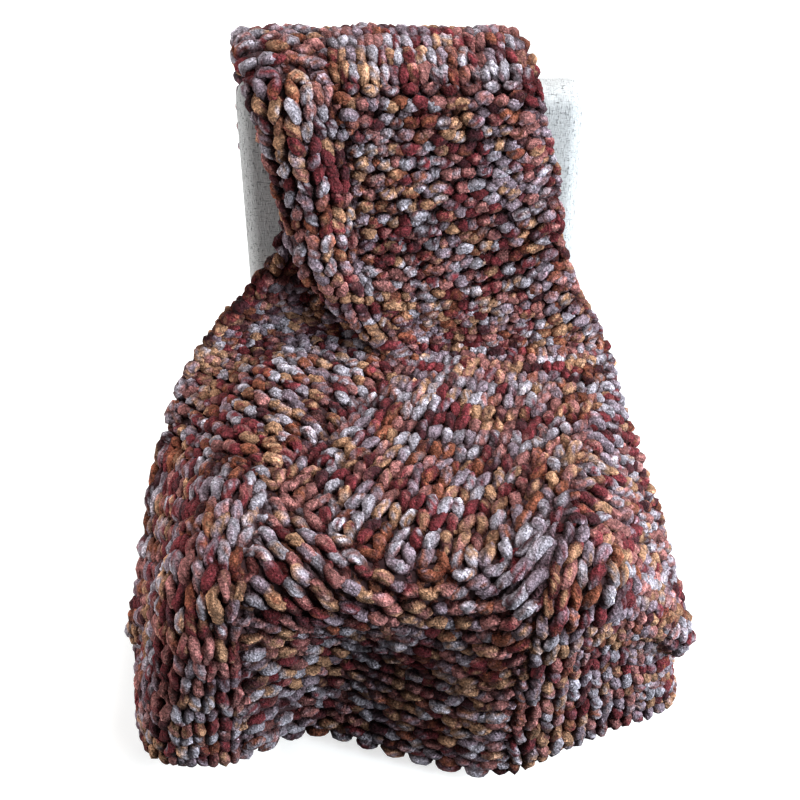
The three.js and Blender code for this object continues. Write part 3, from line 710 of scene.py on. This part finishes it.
def chenille_material():
    material, shader = new_material("chenille_yarn", roughness=1.0, sheen=0.04, specular=0.05)
    tint = add_node(material, "ShaderNodeAttribute", settings={"attribute_name": "tint"})
    # Painted shade: each tuft is pale at its middle and darker towards its border; the same pattern gives
    # the tufts' relief
    tuft = ramp(material, tufts(material, TUFT_SCALE), TUFT_SPAN, TUFT_BORDER_SHADE_TONES)
    fibre = noise(material, FIBRE_SCALE, FIBRE_DETAIL, FIBRE_ROUGHNESS)
    colour = times(material, tint.outputs["Color"], tuft)
    paint(material, shader, times(material, colour, ramp(material, fibre, FIBRE_SPAN, FIBRE_TONES)))
    lumps = bump(material, shader, tuft, TUFT_RELIEF)
    bump(material, shader, fibre, FIBRE_RELIEF, under=lumps)
    return material


# Painted shade: the dark colour seen between the loops
def shade_sheet_material():
    material, shader = new_material("painted_shade_sheet", roughness=1.0)
    shade = ramp(material, noise(material, SHADE_SHEET_SCALE), SHADE_SHEET_SPAN, SHADE_SHEET_TONES)
    paint(material, shader, times(material, plain_colour(material, SHADE_SHEET_COLOUR), shade))
    return material


def tweed_material():
    material, shader = new_material("pale_tweed", roughness=0.95, sheen=0.05, specular=0.1)
    weft = drawn_noise(material, WEFT_SCALES)
    warp = drawn_noise(material, WARP_SCALES)
    colour = plain_colour(material, TWEED_COLOUR)
    for thread in (weft, warp):
        colour = times(material, colour, ramp(material, thread, THREAD_SPAN, THREAD_TONES))
        colour = times(material, colour, ramp(material, thread, FLECK_SPAN, FLECK_TONES))
    paint(material, shader, colour)
    under = bump(material, shader, weft, THREAD_RELIEF, THREAD_STRENGTH)
    bump(material, shader, warp, THREAD_RELIEF, THREAD_STRENGTH, under)
    return material


def wood_material():
    material, shader = new_material("dark_wood", roughness=0.45)
    grain = drawn_noise(material, GRAIN_SCALES, GRAIN_DETAIL)
    shade = ramp(material, grain, GRAIN_SPAN, GRAIN_TONES)
    paint(material, shader, times(material, plain_colour(material, WOOD_COLOUR), shade))
    bump(material, shader, grain, GRAIN_RELIEF, GRAIN_STRENGTH)
    return material


# Throw
def flat_place(wale, course):
    """Flat column and row of a place counted in stitches across and along."""
    row = np.interp(course, np.cumsum((0,) + BLOCK_COURSES), BLOCK_ROWS + (CLOTH_LENGTH,))
    _, left, right = table_at(BLOCK_BORDERS, row)
    share = np.minimum(wale, LEFT_WALES) / LEFT_WALES
    crowd = LAPEL_CROWD * soft_step((CROWD_END - row) / (CROWD_END - CROWD_FULL))
    column = (
        left * (share + crowd * share * (1 - share))
        + (right - left) * np.clip(wale - LEFT_WALES, 0, MIDDLE_WALES) / MIDDLE_WALES
        + (CLOTH_WIDTH - right) * np.maximum(wale - LEFT_WALES - MIDDLE_WALES, 0) / RIGHT_WALES
    )
    _, back_bow, seat_bow = table_at(COURSE_BOW, column)
    back = soft_step((row - BACK_BOW_START) / (BACK_BOW_FULL - BACK_BOW_START))
    back = back * soft_step((BACK_BOW_END - row) / (BACK_BOW_END - BACK_BOW_DROP))
    seat = clip01((row - BOW_START) / (BOW_FULL - BOW_START))
    seat = seat * clip01((CLOTH_LENGTH - row) / (CLOTH_LENGTH - BLOCK_ROWS[-1]))
    return column, row - back_bow * back - seat_bow * seat


def face_turns(count, borders):
    """1 or -1, changing at each border of a count of stitches."""
    return np.prod([1 - 2 * soft_step((count - at) / FACE_BLEND + 0.5) for at in borders], axis=0)


def block_face(wale, course):
    """1 where the loops show their legs, as knit, and -1 where they show their heads, as purl."""
    across = face_turns(wale, (LEFT_WALES, LEFT_WALES + MIDDLE_WALES))
    along = face_turns(course, np.cumsum(BLOCK_COURSES)[:-1])
    return -across * along


def hand_shifts(stitch):
    """Small uneven shifts of a course's loops, in millimetres, blended from stitch to stitch."""
    own = RNG.normal(size=(WALES + 2, 3)) * HAND_SHIFT
    places = np.arange(WALES + 2) - 0.5
    return np.stack([np.interp(stitch, places, shifts) for shifts in own.T], -1)


def selvedge_turn(start, end):
    """Half loop in which the yarn turns into its next row."""
    share = (np.arange(SELVEDGE_POINTS) + 1) / (SELVEDGE_POINTS + 1)
    turn = start + share[:, None] * (end - start)
    outwards = 1 if start[0] > CLOTH_WIDTH / 2 else -1
    turn[:, 0] += outwards * SELVEDGE_BULGE * np.sin(math.pi * share)
    return turn


def yarn_path():
    """Flat column, row, depth and plumpness of the yarn, one course of loops after the other."""
    phase = (np.arange(WALES * YARN_RINGS) + 0.5) / YARN_RINGS * 2 * math.pi
    stitch = phase / (2 * math.pi)
    wale = stitch + LOOP_LEAN * np.sin(2 * phase)
    path = []
    for course in range(COURSES):
        knit = (1 + block_face(wale, course + 0.5)) / 2
        height = PURL_HEIGHT + (KNIT_HEIGHT - PURL_HEIGHT) * knit
        along = course + 0.5 + height * np.cos(phase)
        column, row = flat_place(wale, np.clip(along, COURSE_MARGIN, COURSES - COURSE_MARGIN))
        bulge = -block_face(wale, along) * np.cos(2 * phase)
        loops = np.stack([column, row, LOOP_DEPTH * bulge, bulge], -1)
        loops[:, :3] += hand_shifts(stitch)
        loops[:, 0] = np.clip(loops[:, 0], KNIT_MARGIN, CLOTH_WIDTH - KNIT_MARGIN)
        loops[:, 1] = np.clip(loops[:, 1], KNIT_MARGIN, CLOTH_LENGTH - KNIT_MARGIN)
        loops = loops if course % 2 == 0 else loops[::-1]
        if path:
            path.append(selvedge_turn(path[-1][-1], loops[0]))
        path.append(loops)
    return path


def yarn_tints(length):
    """Colour at each place along the yarn: runs of a few colours that blend into each other."""
    colours = np.array([linear(colour) for colour, _ in YARN_COLOURS.values()])
    odds = np.array([odds for _, odds in YARN_COLOURS.values()])
    count = int(length.max() / COLOUR_RUN[0]) + 2
    ends = np.cumsum(RNG.uniform(*COLOUR_RUN, count))
    picks = RNG.choice(len(colours), count + 1, p=odds / odds.sum())
    shades = colours[picks] * RNG.uniform(*COLOUR_SPREAD, (count + 1, 1))
    run = np.searchsorted(ends, length)
    into = soft_step((length - ends[run]) / COLOUR_BLEND + 1)[..., None]
    return shades[run] * (1 - into) + shades[run + 1] * into


def yarn_rings(flat):
    """Rings of points round the yarn, and its colour at each, with painted light and shade on the tufts
    and painted shade between the loops.
    """
    column, row, depth, bulge = flat.T
    normal = sheet_normals(column, row)
    centre = sheet_points(column, row) + depth[:, None] * normal
    tangent = unit(np.gradient(centre, axis=0))
    side = unit(np.cross(tangent, normal))
    front = np.cross(side, tangent)
    swell = 1 + YARN_SWELL * (2 * np.abs(bulge) - 1) + YARN_LUMPS * RNG.normal(size=len(flat))
    tuft, stray = RNG.normal(size=(2, len(flat), YARN_SIDES))
    radius = YARN_RADIUS * swell[:, None] + TUFT_HEIGHT * tuft
    angle = full_turn(YARN_SIDES)[:, None]
    around = np.cos(angle) * side[:, None] + np.sin(angle) * front[:, None]
    tints = yarn_tints(run_lengths(centre)[:, None] + COLOUR_STRAY * stray)
    # Painted shade: the lower the yarn lies towards the sheet, the darker, as in the hollows between
    # loops; tufts are painted paler as they stand out and darker as they sink
    height = np.abs(depth[:, None] + radius * (around * normal[:, None]).sum(-1))
    in_light = soft_step((height - SHADE_FULL_HEIGHT) / (SHADE_FREE_HEIGHT - SHADE_FULL_HEIGHT))[..., None]
    shade = np.exp(TUFT_PAINTED_SHADING * tuft)[..., None] * (PAINTED_HOLLOW_SHADE + (1 - PAINTED_HOLLOW_SHADE) * in_light)
    return to_scene(centre[:, None] + radius[..., None] * around), tints * shade


def make_yarn(material):
    """The knitted yarn as tubes, in several pieces of neighbouring rows."""
    path = yarn_path()
    rings, tints = yarn_rings(np.concatenate(path))
    ends = np.cumsum([len(part) for part in path])
    courses = np.linspace(0, COURSES, YARN_PIECES + 1).round().astype(int)
    cuts = [0] + [ends[2 * course - 1] for course in courses[1:-1]] + [len(rings)]
    pieces = []
    for number, (start, end) in enumerate(zip(cuts[:-1], cuts[1:]), 1):
        points, tint = (values[start:end + 1].reshape(-1, 3) for values in (rings, tints))
        faces = ring_faces(len(points) // YARN_SIDES, YARN_SIDES)
        pieces.append(mesh_piece(f"throw_yarn_{number}", points, [faces], material, tint))
    return pieces


def make_shade_sheet(material):
    """A dark sheet under the loops, painted shade that shows only between them."""
    columns = np.linspace(KNIT_MARGIN, CLOTH_WIDTH - KNIT_MARGIN, SHADE_SHEET_COLUMNS)
    rows = np.linspace(KNIT_MARGIN, CLOTH_LENGTH - KNIT_MARGIN, SHADE_SHEET_ROWS)
    row, column = np.meshgrid(rows, columns, indexing="ij")
    points = to_scene(sheet_points(column, row)).reshape(-1, 3)
    index = np.arange(row.size).reshape(row.shape)
    faces = np.stack([index[:-1, :-1], index[1:, :-1], index[1:, 1:], index[:-1, 1:]], -1)
    return mesh_piece("throw", points, [faces.reshape(-1, 4)], material)


# Chair
def padded_block(name, corners, width, material):
    """A padded block: an outline with rounded corners drawn out across, its side edges rounded."""
    corners = np.array(corners, float)
    before, after = unit(np.roll(corners, 1, 0) - corners), unit(np.roll(corners, -1, 0) - corners)
    half = np.arccos((before * after).sum(1)) / 2
    centres = corners + unit(before + after) * (PAD_CORNER / np.sin(half))[:, None]
    starts = np.arctan2(before[:, 0], -before[:, 1])
    angles = starts[:, None] + (math.pi - 2 * half)[:, None] * np.linspace(0, 1, PAD_CURVE_POINTS)
    directions = np.stack([np.cos(angles), np.sin(angles)], -1)
    curve = np.linspace(0, math.pi / 2, PAD_CURVE_POINTS)
    left = [(-width / 2 + PAD_EDGE * (1 - math.cos(a)), PAD_EDGE * (1 - math.sin(a))) for a in curve]
    reach = width / 2 - PAD_EDGE
    flat = [(x, 0) for x in np.linspace(-reach, reach, PAD_FLAT_POINTS + 2)[1:-1]]
    right = [(-x, inset) for x, inset in reversed(left)]
    rings = []
    for x, inset in left + flat + right:
        arcs = centres[:, None] + (PAD_CORNER - inset) * directions
        outline = []
        for arc, following in zip(arcs, np.roll(arcs, -1, 0)):
            outline += [arc[:-1], np.linspace(arc[-1], following[0], PAD_SIDE_POINTS, endpoint=False)]
        outline = np.concatenate(outline)
        rings.append(np.column_stack([np.full(len(outline), x), outline]))
    return closed_piece(name, rings, material)


def make_leg(name, node, material):
    """A turned, tapered leg with a softened foot."""
    low, high = ((np.array(corner) - ORIGIN) * 1000 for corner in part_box(node))
    x, y, _ = (low + high) / 2
    taper = LEG_TOP_RADIUS - LEG_FOOT_RADIUS
    profile = []
    for angle in np.linspace(0, math.pi / 2, FOOT_POINTS):
        softened = LEG_FOOT_RADIUS - FOOT_ROUND * (1 - math.sin(angle))
        profile.append((softened, low[2] + FOOT_ROUND * (1 - math.cos(angle))))
    for share in np.linspace(LEG_TAPER_START, 1, LEG_POINTS):
        profile.append((LEG_FOOT_RADIUS + taper * share, low[2] + (high[2] - low[2]) * share))
    return closed_piece(name, turned_rings(profile, LEG_SIDES, x, y), material)


# Floor, light and camera
def make_floor():
    """A pale floor that curves up into a backdrop all round."""
    material, shader = new_material("pale_floor", roughness=0.9)
    shader.inputs["Base Color"].default_value = (FLOOR_TONE, FLOOR_TONE, FLOOR_TONE, 1)
    shader.inputs["Emission Color"].default_value = (1, 1, 1, 1)
    shader.inputs["Emission Strength"].default_value = FLOOR_GLOW
    profile = [(FLOOR_REACH + COVE_RADIUS, BACKDROP_HEIGHT)]
    for angle in np.linspace(math.pi / 2, 0, COVE_POINTS):
        profile.append((FLOOR_REACH + COVE_RADIUS * math.sin(angle), COVE_RADIUS * (1 - math.cos(angle))))
    profile.append((FLOOR_REACH / 2, 0))
    middle = len(profile) * COVE_SIDES
    faces = [ring_faces(len(profile), COVE_SIDES), cap_faces(middle - COVE_SIDES, COVE_SIDES, middle)]
    points = np.concatenate([turned_rings(profile, COVE_SIDES).reshape(-1, 3), np.zeros((1, 3))])
    floor = mesh_piece("floor", points, faces, material)
    floor.visible_diffuse = False
    return floor


def area_light(name, place, target, size, power, colour):
    data = bpy.data.lights.new(name, "AREA")
    data.shape = "DISK"
    data.size = size
    data.energy = power
    data.color = colour
    light = bpy.data.objects.new(name, data)
    light.location = place
    light.rotation_euler = (Vector(target) - Vector(place)).to_track_quat("-Z", "Y").to_euler()
    bpy.context.scene.collection.objects.link(light)


def make_world():
    world = bpy.data.worlds.new("studio")
    world.use_nodes = True
    world.node_tree.nodes["Background"].inputs["Color"].default_value = (1, 1, 1, 1)
    world.node_tree.nodes["Background"].inputs["Strength"].default_value = WORLD_LIGHT
    return world


def make_camera():
    data = bpy.data.cameras.new("camera")
    data.sensor_width = SENSOR
    data.lens = FOCAL_PIXELS / IMAGE_SIZE * SENSOR
    data.shift_x = (IMAGE_SIZE / 2 - CENTRE_PIXEL) / IMAGE_SIZE
    camera = bpy.data.objects.new("camera", data)
    camera.location = to_scene(CAMERA_AT)
    camera.rotation_euler = (math.radians(90 - CAMERA_PITCH), 0, 0)
    bpy.context.scene.collection.objects.link(camera)
    return camera


yarn = chenille_material()
tweed = tweed_material()
wood = wood_material()

shade_sheet = make_shade_sheet(shade_sheet_material())
loops = make_yarn(yarn)
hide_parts("throw")
for piece in [shade_sheet, *loops]:
    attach(piece, "root")

seat = padded_block("seat_pad", [
    (0, SEAT_TOP - SEAT_THICK), (SEAT_DEPTH + BACK_THICK, SEAT_TOP - SEAT_THICK),
    (SEAT_DEPTH + BACK_THICK, SEAT_TOP), (0, SEAT_TOP),
], SEAT_WIDTH, tweed)
back = padded_block("back_pad", [
    (SEAT_DEPTH, SEAT_TOP + GAP), (SEAT_DEPTH + BACK_THICK, SEAT_TOP + GAP),
    (REAR_FACE, BACK_TOP), (REAR_FACE - BACK_THICK, BACK_TOP),
], BACK_WIDTH, tweed)
for piece, node in [(seat, "chair_seat"), (back, "chair_back")]:
    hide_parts(node)
    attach(piece, "root")

for end in ("front", "rear"):
    for hand in ("left", "right"):
        leg = make_leg(f"leg_{end}_{hand}", f"chair_leg_{end}_{hand}", wood)
        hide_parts(f"chair_leg_{end}_{hand}")
        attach(leg, "root")

floor = make_floor()
for name, settings in LIGHTS.items():
    area_light(name, *settings)
bpy.context.scene.world = make_world()
bpy.context.scene.camera = make_camera()
bpy.context.scene.view_settings.view_transform = "Standard"
